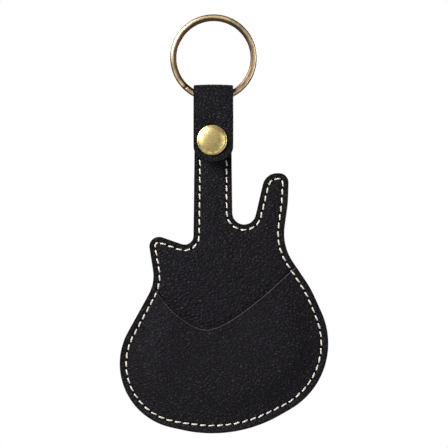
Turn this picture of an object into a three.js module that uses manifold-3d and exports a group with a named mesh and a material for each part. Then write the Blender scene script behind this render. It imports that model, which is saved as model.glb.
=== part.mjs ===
// Guitar-shaped leather pick holder on a split key ring, hanging, in millimetres.
// The pouch lies in the XZ plane with its front towards -Y and +Z up.
// The origin is the inside top of the ring, the point that it hangs from.

import * as THREE from 'three';
import { mergeVertices } from 'three/addons/utils/BufferGeometryUtils.js';
import Module from 'manifold-3d';

const wasm = await Module();
wasm.setup();

// ---- driving dimensions ----

const RING_INNER_RADIUS = 12.8;
const RING_OUTER_RADIUS = 15;
const RING_COIL_THICKNESS = 1.2;
const RING_COIL_GAP = 0.1;
const RING_FRONT_END = 228; // degrees round the ring, where the front coil is cut off
const RING_STEP_DOWN = [-70, -120]; // degrees between which the wire steps to the back coil
const RING_BACK_END = -425;

const LEATHER = 1.2;
const FOLD_Z = -25.7; // axis that the strap is folded round, and that the ring turns on
const FOLD_INNER_RADIUS = 2.3;
const STRAP_LEFT = -6.9;
const STRAP_RIGHT = 6.8;
const FLAP_GAP = 0.3; // between the fold and the flap that hinges on it
const FLAP_CORNER_Z = -43.5;
const FLAP_END_Z = -48.9;

const NECK_LEFT = -6.5;
const NECK_RIGHT = 6.1;
const NECK_TOP_Z = -31; // where the front panel ends, under the flap
const NECK_WIDENS_Z = -40; // the back panel widens above this to the strap's width
const NECK_NARROW_Z = -48;

// The body's outline is a line pulled tight round these circles, down the neck's left side and
// up its right. A hollow stretch has a negative radius. Each has its own margin to the seam.
const BODY_CIRCLES = [
  { name: 'left cutaway', x: -10.1, z: -74.3, radius: -3.1, margin: 2.0 },
  { name: 'left horn', x: -19, z: -78, radius: 3.3, margin: 2.0 },
  { name: 'left waist', x: -34.2, z: -88.3, radius: -13.3, margin: 2.2 },
  { name: 'left bout', x: -9.9, z: -118.6, radius: 22.6, margin: 2.3 },
  { name: 'bottom', x: -0.5, z: -95.6, radius: 47.1, margin: 2.7 },
  { name: 'right bout', x: 13.4, z: -111.6, radius: 26.3, margin: 2.4 },
  { name: 'right hip', x: 3.6, z: -109.1, radius: 34.2, margin: 2.2 },
  { name: 'right waist', x: 42.1, z: -73.5, radius: -17.6, margin: 2.1 },
  { name: 'right horn side', x: -24.3, z: -58.8, radius: 50.2, margin: 2.1 },
  { name: 'right horn shoulder', x: 22.8, z: -55.8, radius: 3.2, margin: 2.0 },
  { name: 'right horn tip', x: 22, z: -57.6, radius: 5, margin: 2.0 },
  { name: 'notch', x: 10.6, z: -66.3, radius: -4.1, margin: 1.9 },
];
const NECK_MARGIN_LEFT = 2;
const NECK_MARGIN_RIGHT = 1.7;
const OUTLINE_CHORD = 2.4; // longest straight stretch on a curved edge
const OUTLINE_TURN = Math.PI / 12; // sharpest turn between two of them

// Pocket mouth from the left edge to the right, a smooth curve through these points.
const MOUTH = [
  [-26, -84.5],
  [-19.5, -94],
  [-13, -101.5],
  [-3.5, -106.8],
  [6, -103.6],
  [17.5, -95],
  [26.5, -87],
  [36, -80],
];
const MOUTH_STEPS = 28;
const BELOW_BODY_Z = -160; // lower than the whole pouch, for the blocks that cut it
const BESIDE_BODY = 20;
const POCKET_CENTRE = { x: 3.2, z: -112 };
const DOME_CLEAR = 0.45; // from the seam's middle to where the pocket panel starts to rise
const HOLLOW_CLEAR = 0.95;
const POCKET_HOLLOW = { x: 31, y: 2.6, z: 26 }; // half sizes of the space behind the pocket panel

const THREAD_WIDTH = 0.65;
const THREAD_HEIGHT = 0.35;
const THREAD_LIFT = 0.3; // how far past the pocket's mouth the front thread starts to step down
const THREAD_STEP = 0.5; // how far along the seam the step takes
const SEAM_TOP_Z = -33;

const SNAP = { x: -0.5, z: -41.4 };
const SNAP_CLEARANCE = 0.3;
const CAP_RADIUS = 5.25;
const CAP_HEIGHT = 1.9;
const CAP_RIM_HEIGHT = 0.7;
const CAP_RIM_ROUND = 0.2;
const CAP_DOME_STEPS = 5;
const SHANK_RADIUS = 1.5;
const SOCKET_RADIUS = 4.4;
const SOCKET_MOUTH_RADIUS = 2.6;
const SOCKET_GROOVE_RADIUS = 3.4;
const SOCKET_SHEET = 0.4; // thickness of its metal
const STUD_FLANGE_RADIUS = 3.7;
const STUD_NECK_RADIUS = 1.45;
const STUD_HEAD_RADIUS = 1.9;
const SPRING_WIRE_RADIUS = 0.2;
const SPRING_SPACING = 1.75;
const SPRING_REACH = 2.5; // half its length
const POST_HEAD_RADIUS = 3.6;
const POST_HEAD_HEIGHT = 0.8;
const POST_PIN_RADIUS = 0.6;
const STUD_BORE_RADIUS = 0.9;
const ROUND_SEGMENTS = 28;

// ---- layers, front to back ----

const BACK_Y = FOLD_INNER_RADIUS + LEATHER; // back face of the back panel
const BACK_PANEL_Y = FOLD_INNER_RADIUS; // its front face, against the front panel
const FRONT_PANEL_Y = BACK_PANEL_Y - LEATHER; // front face of the front panel
const POCKET_Y = FRONT_PANEL_Y - LEATHER; // front face of the pocket panel at its rim
const FLAP_BACK_Y = -FOLD_INNER_RADIUS;
const FLAP_FRONT_Y = FLAP_BACK_Y - LEATHER;

// ---- finishes ----

const finish = (color, roughness, metalness) => ({ color, roughness, metalness });
const LEATHER_BLACK = finish('#1f1d21', 0.6, 0);
const THREAD_CREAM = finish('#d8cbb0', 0.8, 0);
const RING_BRASS = finish('#b08d55', 0.35, 1);
const CAP_GOLD = finish('#b39a62', 0.45, 1);
const SNAP_BRASS = finish('#a58650', 0.4, 1);
const SPRING_STEEL = finish('#9a9a98', 0.35, 1);

// ---- shaping helpers ----

const radians = (degrees) => THREE.MathUtils.degToRad(degrees);

// The direction from both centres to where their common tangent touches, for travel a to b.
function touchDirection(a, b) {
  const along = new THREE.Vector2(b.x - a.x, b.z - a.z);
  const distance = along.length();
  along.divideScalar(distance);
  const lean = (a.radius - b.radius) / distance;
  const outward = new THREE.Vector2(along.y, -along.x);
  return along.multiplyScalar(lean).addScaledVector(outward, Math.sqrt(1 - lean * lean));
}

// Points along an arc from one direction to another, turning left round a positive radius.
function arcPoints(circle, from, to) {
  const start = Math.atan2(from.y, from.x);
  let sweep = Math.atan2(to.y, to.x) - start;
  if (circle.radius > 0 && sweep < 0) sweep += 2 * Math.PI;
  if (circle.radius < 0 && sweep > 0) sweep -= 2 * Math.PI;
  const length = Math.abs(circle.radius * sweep);
  const steps = Math.ceil(Math.max(length / OUTLINE_CHORD, Math.abs(sweep) / OUTLINE_TURN));
  return Array.from({ length: steps + 1 }, (_, i) => {
    const angle = start + (sweep * i) / steps;
    const x = circle.x + circle.radius * Math.cos(angle);
    return new THREE.Vector2(x, circle.z + circle.radius * Math.sin(angle));
  });
}

// The body's outline from the neck's left side round to its right, moved inwards by `share`
// of each circle's margin and then by `extra`.
function bodyEdge(topZ, share = 0, extra = 0) {
  const inset = (margin) => margin * share + extra;
  const left = { x: NECK_LEFT + inset(NECK_MARGIN_LEFT), z: topZ, radius: 0 };
  const right = { x: NECK_RIGHT - inset(NECK_MARGIN_RIGHT), z: topZ, radius: 0 };
  const rounds = BODY_CIRCLES.map((c) => ({ ...c, radius: c.radius - inset(c.margin) }));
  const chain = [left, ...rounds, right];
  const touches = chain.slice(1).map((circle, i) => touchDirection(chain[i], circle));
  const arcs = rounds.flatMap((circle, i) => arcPoints(circle, touches[i], touches[i + 1]));
  return [new THREE.Vector2(left.x, topZ), ...arcs, new THREE.Vector2(right.x, topZ)];
}

// A flat piece of the given outline, in x and z, between two depths.
function slab(shape, frontY, backY) {
  const options = { depth: backY - frontY, bevelEnabled: false, curveSegments: 12 };
  const geometry = new THREE.ExtrudeGeometry(shape, options);
  return geometry.rotateX(Math.PI / 2).translate(0, backY, 0);
}

function roundHole(radius) {
  const hole = new THREE.Path();
  hole.absarc(SNAP.x, SNAP.z, radius, 0, 2 * Math.PI, true);
  return hole;
}

// A turned piece on the snap's axis, from a closed profile of [radius, y] points.
function turned(profile) {
  const points = profile.map(([radius, y]) => new THREE.Vector2(radius, y));
  points.push(points[0].clone());
  return new THREE.LatheGeometry(points, ROUND_SEGMENTS).translate(SNAP.x, 0, SNAP.z);
}

// ---- joining and cutting ----

function solid(geometry) {
  const bare = geometry.clone();
  bare.deleteAttribute('normal');
  bare.deleteAttribute('uv');
  const merged = mergeVertices(bare, 1e-4);
  const vertProperties = new Float32Array(merged.attributes.position.array);
  const triVerts = new Uint32Array(merged.index.array);
  return new wasm.Manifold(new wasm.Mesh({ numProp: 3, vertProperties, triVerts }));
}

function geometryOf(body) {
  const mesh = body.getMesh();
  const geometry = new THREE.BufferGeometry();
  geometry.setAttribute('position', new THREE.BufferAttribute(mesh.vertProperties, 3));
  geometry.setIndex(new THREE.BufferAttribute(mesh.triVerts, 1));
  geometry.computeVertexNormals();
  return geometry;
}

// ---- the ring ----

class SplitRingWire extends THREE.Curve {
  getPoint(t, target = new THREE.Vector3()) {
    const degrees = THREE.MathUtils.lerp(RING_FRONT_END, RING_BACK_END, t);
    const [stepStart, stepEnd] = RING_STEP_DOWN;
    const stepped = THREE.MathUtils.smoothstep(-degrees, -stepStart, -stepEnd);
    const offset = (RING_COIL_THICKNESS + RING_COIL_GAP) / 2;
    const radius = (RING_INNER_RADIUS + RING_OUTER_RADIUS) / 2;
    const angle = radians(degrees);
    return target.set(
      radius * Math.cos(angle),
      offset * (2 * stepped - 1),
      radius * Math.sin(angle) - RING_INNER_RADIUS,
    );
  }
}

function keyRing() {
  const halfWidth = (RING_OUTER_RADIUS - RING_INNER_RADIUS) / 2;
  const section = new THREE.Shape();
  section.absellipse(0, 0, RING_COIL_THICKNESS / 2, halfWidth, 0, 2 * Math.PI);
  const options = { steps: 104, curveSegments: 4, extrudePath: new SplitRingWire() };
  return new THREE.ExtrudeGeometry(section, options);
}

// ---- the leather ----

// The back seam is pulled into the leather, so the back panel has a groove that its thread fills.
function backPanel() {
  const edge = bodyEdge(NECK_NARROW_Z);
  const left = [
    new THREE.Vector2(STRAP_LEFT, FOLD_Z),
    new THREE.Vector2(STRAP_LEFT, NECK_WIDENS_Z),
  ];
  const right = [
    new THREE.Vector2(STRAP_RIGHT, NECK_WIDENS_Z),
    new THREE.Vector2(STRAP_RIGHT, FOLD_Z),
  ];
  const shape = new THREE.Shape([...left, ...edge, ...right]);
  shape.holes.push(roundHole(SHANK_RADIUS + SNAP_CLEARANCE));
  const groove = seamBand(BACK_Y - THREAD_HEIGHT, BACK_Y + 1);
  return geometryOf(solid(slab(shape, BACK_PANEL_Y, BACK_Y)).subtract(solid(groove)));
}

// The strap's half turn round the ring, from the back panel to the flap.
function strapFold() {
  const half = new THREE.Shape();
  half.absarc(0, 0, BACK_Y, 0, Math.PI, false);
  half.absarc(0, 0, FOLD_INNER_RADIUS, Math.PI, 0, true);
  const options = { depth: STRAP_RIGHT - STRAP_LEFT, bevelEnabled: false, curveSegments: 7 };
  const geometry = new THREE.ExtrudeGeometry(half, options);
  const alongX = new THREE.Matrix4().makeBasis(
    new THREE.Vector3(0, 1, 0),
    new THREE.Vector3(0, 0, 1),
    new THREE.Vector3(1, 0, 0),
  );
  return geometry.applyMatrix4(alongX).translate(STRAP_LEFT, 0, FOLD_Z);
}

function strapFlap() {
  const middle = (STRAP_LEFT + STRAP_RIGHT) / 2;
  const halfWidth = (STRAP_RIGHT - STRAP_LEFT) / 2;
  const shape = new THREE.Shape();
  shape.moveTo(STRAP_RIGHT, FOLD_Z - FLAP_GAP);
  shape.lineTo(STRAP_LEFT, FOLD_Z - FLAP_GAP);
  const endLength = FLAP_CORNER_Z - FLAP_END_Z;
  shape.absellipse(middle, FLAP_CORNER_Z, halfWidth, endLength, Math.PI, 2 * Math.PI, false);
  shape.holes.push(roundHole(SHANK_RADIUS + SNAP_CLEARANCE));
  return slab(shape, FLAP_FRONT_Y, FLAP_BACK_Y);
}

function frontPanel() {
  const shape = new THREE.Shape(bodyEdge(NECK_TOP_Z));
  shape.holes.push(roundHole(SHANK_RADIUS + SNAP_CLEARANCE));
  return slab(shape, FRONT_PANEL_Y, BACK_PANEL_Y);
}

// A block that fills everything on one side of the pocket mouth, raised by `lift`.
function besideMouth(farZ, lift, frontY, backY) {
  const curve = new THREE.SplineCurve(MOUTH.map(([x, z]) => new THREE.Vector2(x, z + lift)));
  const points = curve.getPoints(MOUTH_STEPS);
  const first = points[0];
  const last = points[points.length - 1];
  points.push(new THREE.Vector2(last.x + BESIDE_BODY, last.y));
  points.push(new THREE.Vector2(last.x + BESIDE_BODY, farZ));
  points.push(new THREE.Vector2(first.x - BESIDE_BODY, farZ));
  points.push(new THREE.Vector2(first.x - BESIDE_BODY, first.y));
  return solid(slab(new THREE.Shape(points), frontY, backY));
}

function ellipsoid(grow) {
  const sphere = new THREE.SphereGeometry(1, 36, 18);
  sphere.scale(POCKET_HOLLOW.x + grow, POCKET_HOLLOW.y + grow, POCKET_HOLLOW.z + grow);
  return solid(sphere.translate(POCKET_CENTRE.x, FRONT_PANEL_Y, POCKET_CENTRE.z));
}

// The pocket panel lies flat round its sewn edge and stands off the front panel inside it.
function pocketPanel() {
  const deepY = POCKET_Y - POCKET_HOLLOW.y - LEATHER;
  const column = (share, extra, frontY) => {
    const shape = new THREE.Shape(bodyEdge(NECK_NARROW_Z, share, extra));
    return solid(slab(shape, frontY, FRONT_PANEL_Y));
  };
  const rim = column(0, 0, POCKET_Y);
  const dome = ellipsoid(LEATHER).intersect(column(1, DOME_CLEAR, deepY));
  const hollow = ellipsoid(0).intersect(column(1, HOLLOW_CLEAR, deepY));
  const below = besideMouth(BELOW_BODY_Z, 0, deepY - 1, FRONT_PANEL_Y + 1);
  return geometryOf(rim.add(dome).intersect(below).subtract(hollow));
}

// ---- the seam ----

// A closed band that follows the seam line round the body and across the neck's top.
function seamBand(frontY, backY) {
  const half = THREAD_WIDTH / 2;
  const outer = new THREE.Shape(bodyEdge(SEAM_TOP_Z + half, 1, -half));
  outer.holes.push(new THREE.Path(bodyEdge(SEAM_TOP_Z - half, 1, half)));
  return slab(outer, frontY, backY);
}

// The front thread runs over the pocket panel and steps down to the front panel past its mouth.
function needleThread() {
  const frontY = POCKET_Y - THREAD_HEIGHT;
  const band = solid(seamBand(frontY, FRONT_PANEL_Y));
  const pocketEdge = besideMouth(BELOW_BODY_Z, THREAD_LIFT, POCKET_Y, FRONT_PANEL_Y + 1);
  const aboveStep = besideMouth(
    0,
    THREAD_LIFT + THREAD_STEP,
    frontY - 1,
    FRONT_PANEL_Y - THREAD_HEIGHT,
  );
  return geometryOf(band.subtract(pocketEdge).subtract(aboveStep));
}

const bobbinThread = () => seamBand(BACK_Y - THREAD_HEIGHT, BACK_Y);

// ---- the snap ----

const SOCKET_FLOOR_Y = FLAP_BACK_Y + SOCKET_SHEET;
const SPRING_Y = -0.9; // where the wires lie in the socket, level with the stud's neck
const SOCKET_FRONT_Y = -0.3; // the socket's open face, just clear of the stud's flange

function snapCap() {
  const rimY = FLAP_FRONT_Y;
  const shoulderY = rimY - CAP_RIM_HEIGHT;
  const dome = Array.from({ length: CAP_DOME_STEPS }, (_, i) => {
    const angle = (radians(90) * i) / CAP_DOME_STEPS;
    const height = (CAP_HEIGHT - CAP_RIM_HEIGHT) * Math.cos(angle);
    return [(CAP_RADIUS - 0.3) * Math.sin(angle), shoulderY - height];
  });
  return turned([
    ...dome,
    [CAP_RADIUS - CAP_RIM_ROUND, shoulderY],
    [CAP_RADIUS, rimY - CAP_RIM_HEIGHT / 2],
    [CAP_RADIUS - CAP_RIM_ROUND, rimY],
    [SHANK_RADIUS, rimY],
    [SHANK_RADIUS, SOCKET_FLOOR_Y],
    [SHANK_RADIUS + 0.5, SOCKET_FLOOR_Y],
    [SHANK_RADIUS + 0.3, SOCKET_FLOOR_Y + 0.25],
    [0, SOCKET_FLOOR_Y + 0.25],
  ]);
}

function snapSocket() {
  const shelfY = SPRING_Y + SPRING_WIRE_RADIUS + 0.1;
  return turned([
    [SOCKET_RADIUS, FLAP_BACK_Y],
    [SOCKET_RADIUS, SOCKET_FRONT_Y - 0.5],
    [SOCKET_RADIUS - 0.4, SOCKET_FRONT_Y],
    [SOCKET_MOUTH_RADIUS, SOCKET_FRONT_Y],
    [SOCKET_MOUTH_RADIUS, shelfY],
    [SOCKET_GROOVE_RADIUS, shelfY],
    [SOCKET_GROOVE_RADIUS, SOCKET_FLOOR_Y],
    [SHANK_RADIUS + SNAP_CLEARANCE, SOCKET_FLOOR_Y],
    [SHANK_RADIUS + SNAP_CLEARANCE, FLAP_BACK_Y],
  ]);
}

function snapStud() {
  const topY = SPRING_Y - SPRING_WIRE_RADIUS - 0.45;
  const boreEndY = 0;
  return turned([
    [0, topY],
    [STUD_HEAD_RADIUS - 0.5, topY],
    [STUD_HEAD_RADIUS, topY + 0.2],
    [STUD_NECK_RADIUS, SPRING_Y - SPRING_WIRE_RADIUS + 0.05],
    [STUD_NECK_RADIUS + 0.1, FRONT_PANEL_Y - 0.5],
    [STUD_FLANGE_RADIUS, FRONT_PANEL_Y - 0.4],
    [STUD_FLANGE_RADIUS, FRONT_PANEL_Y],
    [STUD_BORE_RADIUS, FRONT_PANEL_Y],
    [STUD_BORE_RADIUS, boreEndY],
    [0, boreEndY],
  ]);
}

function snapPost() {
  const headY = BACK_Y + POST_HEAD_HEIGHT;
  return turned([
    [0, headY],
    [0, 0.3],
    [POST_PIN_RADIUS, 0.3],
    [POST_PIN_RADIUS, FRONT_PANEL_Y + 0.3],
    [SHANK_RADIUS, FRONT_PANEL_Y + 0.6],
    [SHANK_RADIUS, BACK_Y],
    [POST_HEAD_RADIUS, BACK_Y],
    [POST_HEAD_RADIUS - 0.2, BACK_Y + POST_HEAD_HEIGHT / 2],
    [POST_HEAD_RADIUS * 0.6, headY - 0.05],
  ]);
}

// One of the two bowed wires that grip the stud's neck.
function snapSpring(side) {
  const path = new THREE.CatmullRomCurve3([
    new THREE.Vector3(side * (SPRING_SPACING - 0.4), SPRING_Y, -SPRING_REACH),
    new THREE.Vector3(side * (SPRING_SPACING + 0.05), SPRING_Y, -SPRING_REACH / 2),
    new THREE.Vector3(side * SPRING_SPACING, SPRING_Y, 0),
    new THREE.Vector3(side * (SPRING_SPACING + 0.05), SPRING_Y, SPRING_REACH / 2),
    new THREE.Vector3(side * (SPRING_SPACING - 0.4), SPRING_Y, SPRING_REACH),
  ]);
  const section = new THREE.Shape();
  section.absarc(0, 0, SPRING_WIRE_RADIUS, 0, 2 * Math.PI);
  const options = { steps: 12, curveSegments: 4, extrudePath: path };
  return new THREE.ExtrudeGeometry(section, options).translate(SNAP.x, 0, SNAP.z);
}

// ---- the assembly ----

function piece(name, geometry, material) {
  const mesh = new THREE.Mesh(geometry, new THREE.MeshStandardMaterial(material));
  mesh.name = name;
  return mesh;
}

const ring = new THREE.Group();
ring.add(piece('key_ring', keyRing(), RING_BRASS));

const pouch = new THREE.Group();
pouch.add(
  piece('back_panel', backPanel(), LEATHER_BLACK),
  piece('strap_fold', strapFold(), LEATHER_BLACK),
  piece('front_panel', frontPanel(), LEATHER_BLACK),
  piece('pocket_panel', pocketPanel(), LEATHER_BLACK),
  piece('needle_thread', needleThread(), THREAD_CREAM),
  piece('bobbin_thread', bobbinThread(), THREAD_CREAM),
  piece('snap_stud', snapStud(), SNAP_BRASS),
  piece('snap_post', snapPost(), SNAP_BRASS),
);

const flap = new THREE.Group();
flap.add(
  piece('strap_flap', strapFlap(), LEATHER_BLACK),
  piece('snap_cap', snapCap(), CAP_GOLD),
  piece('snap_socket', snapSocket(), SNAP_BRASS),
  piece('snap_spring_left', snapSpring(-1), SPRING_STEEL),
  piece('snap_spring_right', snapSpring(1), SPRING_STEEL),
);

const pickHolder = new THREE.Group();
pickHolder.add(ring, pouch, flap);

export default pickHolder;
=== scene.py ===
# %% [markdown]
# A guitar-shaped leather pick holder hangs from a split key ring. Three layers of black pebbled
# leather are sewn together with cream thread, and the back layer carries on as a strap that is
# folded through the ring and snapped shut. The frame below is the working model: it says where
# each piece is and how it moves, and every piece made here is measured from it.

# %% Load the frame
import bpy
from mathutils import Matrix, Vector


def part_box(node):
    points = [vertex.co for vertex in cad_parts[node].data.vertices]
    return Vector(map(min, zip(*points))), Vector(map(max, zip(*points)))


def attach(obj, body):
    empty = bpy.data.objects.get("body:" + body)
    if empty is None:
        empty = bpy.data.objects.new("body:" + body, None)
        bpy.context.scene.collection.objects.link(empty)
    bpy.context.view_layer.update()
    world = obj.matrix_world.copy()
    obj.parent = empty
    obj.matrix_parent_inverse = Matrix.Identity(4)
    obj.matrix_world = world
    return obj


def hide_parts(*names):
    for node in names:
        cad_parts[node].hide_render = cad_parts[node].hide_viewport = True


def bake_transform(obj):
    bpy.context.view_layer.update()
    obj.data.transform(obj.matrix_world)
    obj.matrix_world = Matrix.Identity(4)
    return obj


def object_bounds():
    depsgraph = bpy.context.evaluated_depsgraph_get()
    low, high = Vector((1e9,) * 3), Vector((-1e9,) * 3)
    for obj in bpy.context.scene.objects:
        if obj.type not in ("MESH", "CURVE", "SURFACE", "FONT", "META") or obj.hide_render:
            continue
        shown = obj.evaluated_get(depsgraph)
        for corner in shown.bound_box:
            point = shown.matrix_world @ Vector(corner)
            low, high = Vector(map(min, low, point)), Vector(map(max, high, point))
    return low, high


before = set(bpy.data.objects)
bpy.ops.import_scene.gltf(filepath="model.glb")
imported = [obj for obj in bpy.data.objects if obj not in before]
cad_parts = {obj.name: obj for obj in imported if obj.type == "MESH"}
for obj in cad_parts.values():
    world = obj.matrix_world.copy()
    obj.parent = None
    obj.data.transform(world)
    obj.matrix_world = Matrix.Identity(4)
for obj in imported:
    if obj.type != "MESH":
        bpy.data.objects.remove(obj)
cad_low, cad_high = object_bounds()

# %% [markdown]
# Leather goods are drawn in millimetres and Blender works in metres, so shapes are worked out in
# the one and made in the other. These helpers read the sides of a node's box, and see to it that
# an operator acts only on the piece that is meant.

# %% Tools and units
import math

import bpy
import numpy as np
from mathutils import Vector
from mathutils.geometry import delaunay_2d_cdt

MM = 0.001  # shapes are worked out in millimetres and made in metres


def low(node, axis):
    """A node's lowest coordinate in millimetres along x, y or z."""
    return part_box(node)[0]["xyz".index(axis)] / MM


def high(node, axis):
    """A node's highest coordinate in millimetres along x, y or z."""
    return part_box(node)[1]["xyz".index(axis)] / MM


def clear_selection():
    """Back to object mode with nothing selected, so that an operator acts only on what comes next."""
    if bpy.context.object and bpy.context.object.mode != "OBJECT":
        bpy.ops.object.mode_set(mode="OBJECT")
    bpy.ops.object.select_all(action="DESELECT")


def take(piece):
    """Makes one piece the only one selected, and the active one."""
    clear_selection()
    piece.select_set(True)
    bpy.context.view_layer.objects.active = piece
    return piece


print("pouch", round(high("front_panel", "x") - low("front_panel", "x"), 1), "mm wide")

# %% [markdown]
# Some steps come back for many pieces. A finish needs numbers that the mesh keeps on its points,
# such as the distance from a seam. A shape worked out in code has to become an object, turned
# face outwards. A wire's flat ends are found by their many sides and bevelled.

# %% Steps that repeat
def store(mesh, name, values):
    """Keeps one number, or one vector, for each point of a mesh."""
    values = np.asarray(values, np.float32)
    kind, field = ("FLOAT", "value") if values.ndim == 1 else ("FLOAT_VECTOR", "vector")
    mesh.attributes.new(name, kind, "POINT").data.foreach_set(field, values.ravel())


def new_piece(name, points, faces):
    """An object made from points in millimetres and the faces that join them."""
    mesh = bpy.data.meshes.new(name)
    mesh.from_pydata((points * MM).tolist(), [], faces)
    piece = bpy.data.objects.new(name, mesh)
    bpy.context.collection.objects.link(piece)
    return take(piece)


def face_outwards():
    """Turns every face of the piece in edit mode outwards, and goes back to object mode."""
    bpy.ops.mesh.select_all(action="SELECT")
    bpy.ops.mesh.normals_make_consistent(inside=False)
    bpy.ops.object.mode_set(mode="OBJECT")


def close_openings():
    """Fills every open edge of the piece in edit mode."""
    bpy.ops.mesh.select_mode(type="EDGE")
    bpy.ops.mesh.select_all(action="DESELECT")
    bpy.ops.mesh.select_non_manifold()
    bpy.ops.mesh.fill_holes(sides=0)


def bevel_ends(width, segments):
    """Rounds the flat ends of the rod or wire in edit mode."""
    bpy.ops.mesh.select_mode(type="FACE")
    bpy.ops.mesh.select_all(action="DESELECT")
    bpy.ops.mesh.select_face_by_sides(number=4, type="GREATER")
    bpy.ops.mesh.bevel(offset=width * MM, segments=segments, affect="EDGES")


print("steps ready")

# %% [markdown]
# The camera comes first. It looks straight at the front through a long lens from well away, so
# that the flat pouch keeps its true outline and shows no perspective.

# %% Camera
FRAME_WIDTH = 155 * MM  # what the camera sees across, at the pouch
LENS = 120
SENSOR = 36
middle = (cad_low + cad_high) / 2
camera_distance = FRAME_WIDTH * LENS / SENSOR
clear_selection()
bpy.ops.object.camera_add(
    location=(middle.x, -camera_distance, middle.z), rotation=(math.pi / 2, 0, 0)
)
camera = bpy.context.object
camera.data.lens = LENS
camera.data.sensor_width = SENSOR
camera.data.clip_start = 0.01
bpy.context.scene.camera = camera
print("camera stands", round(camera_distance, 3), "m in front")

# %% [markdown]
# The light is a plain soft studio: a big soft box at the upper left, a weaker one at the right
# and a strip overhead, which the brass needs for its bright bands. Large lamps are used, because
# a small one would leave hard white dots on every pebble of the leather.

# %% Studio light
SOFT_BOXES = [
    # name, place, size, watts
    ("key_light", (-0.5, -0.42, 0.3), (0.35, 0.35), 13.0),
    ("fill_light", (0.5, -0.45, -0.05), (0.3, 0.5), 1.9),
    ("top_light", (0.0, -0.05, 0.5), (0.6, 0.2), 0.35),
    ("back_light", (0.35, 0.5, 0.15), (0.4, 0.4), 6.0),
]


def soft_box(name, place, size, watts):
    """A rectangular lamp that faces the middle of the object."""
    clear_selection()
    bpy.ops.object.light_add(type="AREA", location=place)
    lamp = bpy.context.object
    lamp.name = name
    lamp.rotation_euler = (middle - Vector(place)).to_track_quat("-Z", "Y").to_euler()
    lamp.data.shape = "RECTANGLE"
    lamp.data.size, lamp.data.size_y = size
    lamp.data.energy = watts


for box in SOFT_BOXES:
    soft_box(*box)
print(len(SOFT_BOXES), "soft boxes")

# %% [markdown]
# The backdrop is white to the camera. What it throws on the object is dimmer, and darker from
# below, because black leather turns grey and brass turns flat in a room that is white all round.
# A Light Path node tells the two apart.

# %% Backdrop
def studio_world():
    """White behind the object for the camera, and a softer room light for everything else."""
    world = bpy.data.worlds.new("studio")
    world.use_nodes = True
    nodes, link = world.node_tree.nodes, world.node_tree.links.new
    nodes.clear()
    seen = nodes.new("ShaderNodeBackground")
    seen.inputs["Color"].default_value = (1, 1, 1, 1)
    room = nodes.new("ShaderNodeBackground")
    direction = nodes.new("ShaderNodeTexCoord")
    split = nodes.new("ShaderNodeSeparateXYZ")
    height = nodes.new("ShaderNodeMapRange")
    height.inputs["From Min"].default_value = -1
    ramp = nodes.new("ShaderNodeValToRGB")
    ramp.color_ramp.elements[0].color = (0.05, 0.045, 0.04, 1)
    ramp.color_ramp.elements[1].color = (0.1, 0.1, 0.1, 1)
    horizon = ramp.color_ramp.elements.new(0.5)
    horizon.color = (0.07, 0.07, 0.07, 1)
    path = nodes.new("ShaderNodeLightPath")
    mix = nodes.new("ShaderNodeMixShader")
    out = nodes.new("ShaderNodeOutputWorld")
    link(direction.outputs["Generated"], split.inputs[0])
    link(split.outputs["Z"], height.inputs["Value"])
    link(height.outputs["Result"], ramp.inputs["Fac"])
    link(ramp.outputs["Color"], room.inputs["Color"])
    link(path.outputs["Is Camera Ray"], mix.inputs["Fac"])
    link(room.outputs[0], mix.inputs[1])
    link(seen.outputs[0], mix.inputs[2])
    link(mix.outputs[0], out.inputs["Surface"])
    return world


bpy.context.scene.world = studio_world()
bpy.context.scene.view_settings.view_transform = "Standard"
bpy.context.scene.view_settings.look = "None"
print("backdrop", bpy.context.scene.world.name)

# %% [markdown]
# The floor is a plain pale sheet well below the hanging pouch, out of the front view.

# %% Floor
FLOOR_DROP = 0.5
clear_selection()
bpy.ops.mesh.primitive_plane_add(size=2.0, location=(middle.x, 0, cad_low.z - FLOOR_DROP))
floor = bpy.context.object
floor.name = "floor"
floor_finish = bpy.data.materials.new("pale_floor")
floor_finish.use_nodes = True
floor_shader = floor_finish.node_tree.nodes["Principled BSDF"].inputs
floor_shader["Base Color"].default_value = (0.85, 0.85, 0.85, 1)
floor_shader["Roughness"].default_value = 0.9
floor_shader["Emission Color"].default_value = (1, 1, 1, 1)
floor_path = floor_finish.node_tree.nodes.new("ShaderNodeLightPath")
floor_finish.node_tree.links.new(floor_path.outputs["Is Camera Ray"], floor_shader["Emission Strength"])
floor.data.materials.append(floor_finish)
print("floor", round(FLOOR_DROP, 2), "m below the pouch")

# %% [markdown]
# The outlines are read off the frame. A CAD node is made of loose triangles, so the edge of one
# of its faces is the set of triangle sides that no other triangle shares. Joined end to end they
# give a closed line.

# %% Outlines of the frame's faces
def facing_triangles(node, sign, depth=None):
    """A node's triangles that face along y with the given sign, in millimetres."""
    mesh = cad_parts[node].data
    mesh.calc_loop_triangles()
    points = np.array([v.co for v in mesh.vertices]) / MM
    faces = points[np.array([t.vertices for t in mesh.loop_triangles])]
    normals = np.cross(faces[:, 1] - faces[:, 0], faces[:, 2] - faces[:, 0])
    normals /= np.linalg.norm(normals, axis=1)[:, None] + 1e-12
    keep = normals[:, 1] * sign > 0.02
    if depth is not None:
        keep &= np.abs(faces[:, :, 1] - depth).max(axis=1) < 0.01
    return faces[keep][:, :, (0, 2)]


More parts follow.
